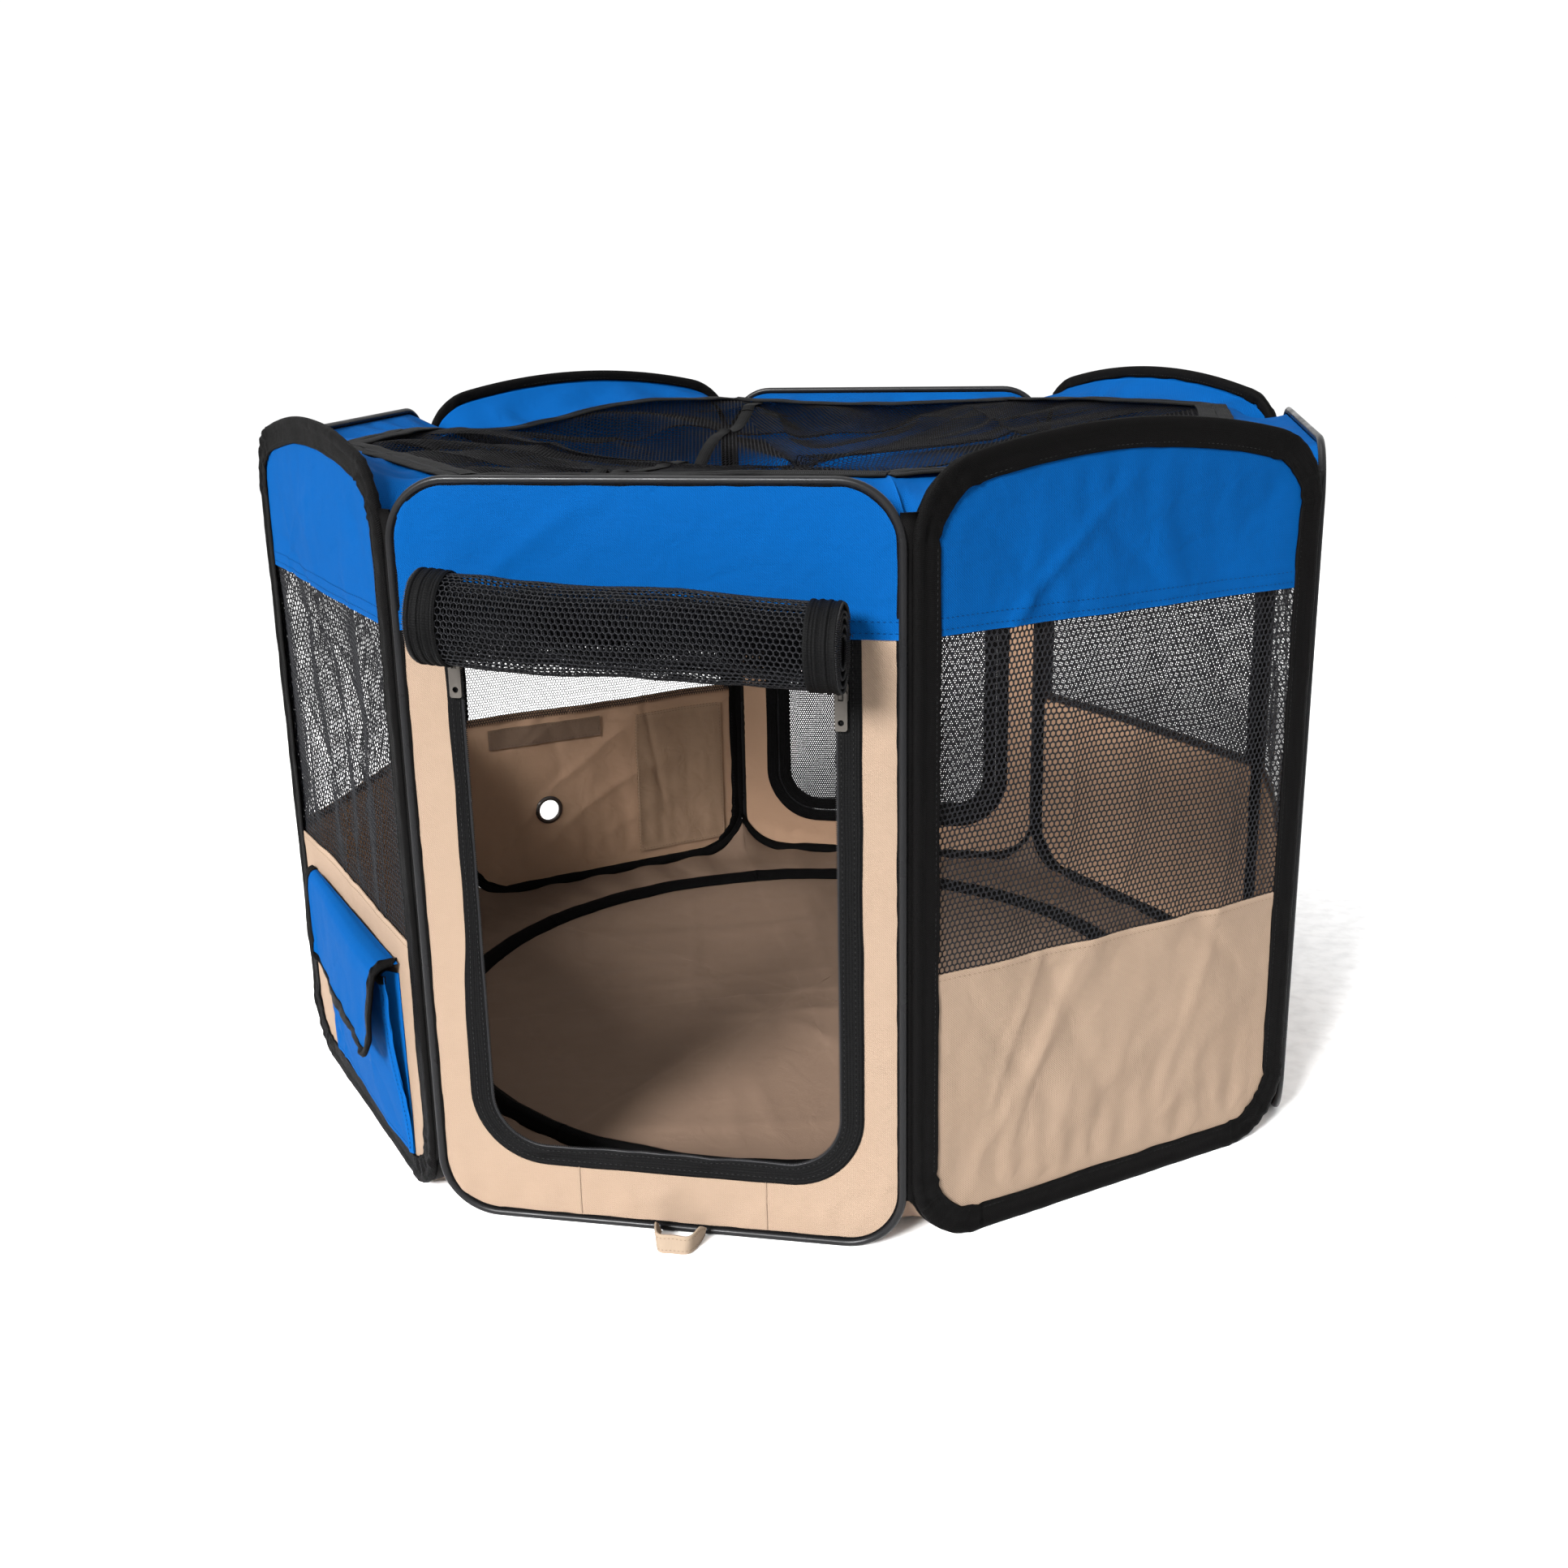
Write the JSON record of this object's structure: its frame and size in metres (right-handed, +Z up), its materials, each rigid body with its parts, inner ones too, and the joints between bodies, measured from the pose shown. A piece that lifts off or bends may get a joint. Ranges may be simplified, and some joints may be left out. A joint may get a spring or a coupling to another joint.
{
  "type": "pet playpen",
  "caption": "Pop-up octagonal pet pen with fabric and net walls on sprung hoops, a rolled-up net door, a zipped back door, a side pocket, a fabric floor and a lift-off net roof.",
  "frame": {"origin": "on the ground at the middle of the ring of wall panels", "axes": "+Z up, -Y out through the front door, +X to the right seen from the front"},
  "size_m": [0.9094, 0.9793, 0.6079],
  "materials": {
    "blue_cloth": "woven polyester",
    "beige_cloth": "woven polyester",
    "floor_cloth": "coated woven polyester",
    "black_net": "knitted hexagonal net",
    "black_binding": "woven tape",
    "black_piping": "smooth plastic sleeve",
    "spring_steel": "drawn wire",
    "zip_tape": "woven tape with moulded teeth",
    "zip_metal": "cast and painted",
    "eyelet_metal": "pressed"
  },
  "bodies": {
    "front_panel": {"front_hoop": "black_piping", "front_upper_band": "blue_cloth", "front_surround": "beige_cloth", "front_zip_tape": "zip_tape", "front_door_roll": "black_net", "front_roll_ties": "black_binding", "floor_sheet": "floor_cloth", "floor_ring": "black_binding", "roof_border": "blue_cloth"},
    "right_front_panel": {"right_front_binding": "black_binding", "right_front_wire": "spring_steel", "right_front_upper_band": "blue_cloth", "right_front_lower_wall": "beige_cloth", "right_front_net_window": "black_net"},
    "right_panel": {"right_hoop": "black_piping", "right_upper_band": "blue_cloth", "right_lower_wall": "beige_cloth", "right_net_window": "black_net"},
    "right_back_panel": {"right_back_binding": "black_binding", "right_back_wire": "spring_steel", "right_back_upper_band": "blue_cloth", "right_back_lower_wall": "beige_cloth", "right_back_net_window": "black_net"},
    "back_panel": {"back_hoop": "black_piping", "back_upper_band": "blue_cloth", "back_surround": "beige_cloth", "back_zip_tape": "zip_tape"},
    "left_back_panel": {"left_back_binding": "black_binding", "left_back_wire": "spring_steel", "left_back_upper_band": "blue_cloth", "left_back_lower_wall": "beige_cloth", "left_back_net_window": "black_net", "wall_eyelet": "eyelet_metal"},
    "left_panel": {"left_hoop": "black_piping", "left_upper_band": "blue_cloth", "left_lower_wall": "beige_cloth", "left_net_window": "black_net"},
    "left_front_panel": {"left_front_binding": "black_binding", "left_front_wire": "spring_steel", "left_front_upper_band": "blue_cloth", "left_front_lower_wall": "beige_cloth", "left_front_net_window": "black_net", "pocket_pouch": "blue_cloth"},
    "back_door": {"back_door_tape": "zip_tape", "back_door_net": "black_net"},
    "back_slider": {"back_slider": "zip_metal"},
    "front_slider_left": {"front_slider_left": "zip_metal"},
    "front_pull_left": {"front_pull_left": "zip_metal"},
    "front_slider_right": {"front_slider_right": "zip_metal"},
    "front_pull_right": {"front_pull_right": "zip_metal"},
    "pocket_flap": {"pocket_flap": "blue_cloth"},
    "ground_loop": {"ground_loop": "beige_cloth"},
    "roof_gore_front": {"roof_gore_front": "black_net"},
    "roof_gore_right_front": {"roof_gore_right_front": "black_net"},
    "roof_gore_right": {"roof_gore_right": "black_net"},
    "roof_gore_right_back": {"roof_gore_right_back": "black_net"},
    "roof_gore_back": {"roof_gore_back": "black_net"},
    "roof_gore_left_back": {"roof_gore_left_back": "black_net"},
    "roof_gore_left": {"roof_gore_left": "black_net"},
    "roof_gore_left_front": {"roof_gore_left_front": "black_net"}
  },
  "joints": [
    {"name": "ring_fold", "type": "hinge", "parent": "front_panel", "child": "right_front_panel", "pos_m": [0.16485, -0.4517, 0], "axis": [0, 0, -1], "range_deg": [0, 108], "deforming": ["floor_sheet", "floor_ring", "roof_border", "roof_gore_front", "roof_gore_right_front", "roof_gore_right", "roof_gore_right_back", "roof_gore_back", "roof_gore_left_back", "roof_gore_left", "roof_gore_left_front"]},
    {"name": "right_fold", "type": "hinge", "parent": "right_front_panel", "child": "right_panel", "pos_m": [0.4482, -0.20852, 0], "axis": [0, 0, 1], "range_deg": [0, 108]},
    {"name": "right_back_fold", "type": "hinge", "parent": "right_panel", "child": "right_back_panel", "pos_m": [0.4517, 0.16485, 0], "axis": [0, 0, -1], "range_deg": [0, 108]},
    {"name": "back_fold", "type": "hinge", "parent": "right_back_panel", "child": "back_panel", "pos_m": [0.20852, 0.4482, 0], "axis": [0, 0, 1], "range_deg": [0, 108]},
    {"name": "left_front_fold", "type": "hinge", "parent": "front_panel", "child": "left_front_panel", "pos_m": [-0.20852, -0.4482, 0], "axis": [0, 0, -1], "range_deg": [0, 108]},
    {"name": "left_fold", "type": "hinge", "parent": "left_front_panel", "child": "left_panel", "pos_m": [-0.4517, -0.16485, 0], "axis": [0, 0, 1], "range_deg": [0, 108]},
    {"name": "left_back_fold", "type": "hinge", "parent": "left_panel", "child": "left_back_panel", "pos_m": [-0.4482, 0.20852, 0], "axis": [0, 0, -1], "range_deg": [0, 108]},
    {"name": "back_door_swing", "type": "hinge", "parent": "back_panel", "child": "back_door", "pos_m": [0.02265, 0.4526, 0.4698], "axis": [1, 0, 0], "range_deg": [0, 100]},
    {"name": "back_slider_run", "type": "slide", "parent": "back_panel", "child": "back_slider", "axis": [0, 0, -1], "range_m": [0, 0.32]},
    {"name": "front_slider_left_run", "type": "slide", "parent": "front_panel", "child": "front_slider_left", "axis": [0, 0, -1], "range_m": [0, 0.3]},
    {"name": "front_slider_right_run", "type": "slide", "parent": "front_panel", "child": "front_slider_right", "axis": [0, 0, -1], "range_m": [0, 0.3]},
    {"name": "front_pull_left_swing", "type": "hinge", "parent": "front_slider_left", "child": "front_pull_left", "pos_m": [-0.16265, -0.4553, 0.449], "axis": [-1, 0, 0], "range_deg": [0, 70]},
    {"name": "front_pull_right_swing", "type": "hinge", "parent": "front_slider_right", "child": "front_pull_right", "pos_m": [0.11735, -0.4553, 0.433], "axis": [-1, 0, 0], "range_deg": [0, 70]},
    {"name": "pocket_flap_lift", "type": "hinge", "parent": "left_front_panel", "child": "pocket_flap", "pos_m": [-0.33146, -0.30872, 0.1946], "axis": [-0.6441, 0.7649, 0], "range_deg": [0, 75]},
    {"name": "ground_loop_lift", "type": "hinge", "parent": "front_panel", "child": "ground_loop", "pos_m": [-0.01065, -0.4549, 0.02], "axis": [-1, 0, 0], "range_deg": [0, 80]},
    {"name": "roof_lift", "type": "slide", "parent": "front_panel", "child": "roof_gore_front", "axis": [0, 0, 1], "range_m": [0, 0.3]},
    {"name": "roof_lift_right_front", "type": "slide", "parent": "right_front_panel", "child": "roof_gore_right_front", "axis": [0, 0, 1], "range_m": [0, 0.3]},
    {"name": "roof_lift_right", "type": "slide", "parent": "right_panel", "child": "roof_gore_right", "axis": [0, 0, 1], "range_m": [0, 0.3]},
    {"name": "roof_lift_right_back", "type": "slide", "parent": "right_back_panel", "child": "roof_gore_right_back", "axis": [0, 0, 1], "range_m": [0, 0.3]},
    {"name": "roof_lift_back", "type": "slide", "parent": "back_panel", "child": "roof_gore_back", "axis": [0, 0, 1], "range_m": [0, 0.3]},
    {"name": "roof_lift_left_back", "type": "slide", "parent": "left_back_panel", "child": "roof_gore_left_back", "axis": [0, 0, 1], "range_m": [0, 0.3]},
    {"name": "roof_lift_left", "type": "slide", "parent": "left_panel", "child": "roof_gore_left", "axis": [0, 0, 1], "range_m": [0, 0.3]},
    {"name": "roof_lift_left_front", "type": "slide", "parent": "left_front_panel", "child": "roof_gore_left_front", "axis": [0, 0, 1], "range_m": [0, 0.3]}
  ],
  "couplings": [
    {"joint": "right_fold", "follows": "ring_fold", "ratio": 1},
    {"joint": "right_back_fold", "follows": "ring_fold", "ratio": 1},
    {"joint": "back_fold", "follows": "ring_fold", "ratio": 1},
    {"joint": "left_front_fold", "follows": "ring_fold", "ratio": 1},
    {"joint": "left_fold", "follows": "ring_fold", "ratio": 1},
    {"joint": "left_back_fold", "follows": "ring_fold", "ratio": 1},
    {"joint": "roof_lift_right_front", "follows": "roof_lift", "ratio": 1},
    {"joint": "roof_lift_right", "follows": "roof_lift", "ratio": 1},
    {"joint": "roof_lift_right_back", "follows": "roof_lift", "ratio": 1},
    {"joint": "roof_lift_back", "follows": "roof_lift", "ratio": 1},
    {"joint": "roof_lift_left_back", "follows": "roof_lift", "ratio": 1},
    {"joint": "roof_lift_left", "follows": "roof_lift", "ratio": 1},
    {"joint": "roof_lift_left_front", "follows": "roof_lift", "ratio": 1}
  ]
}
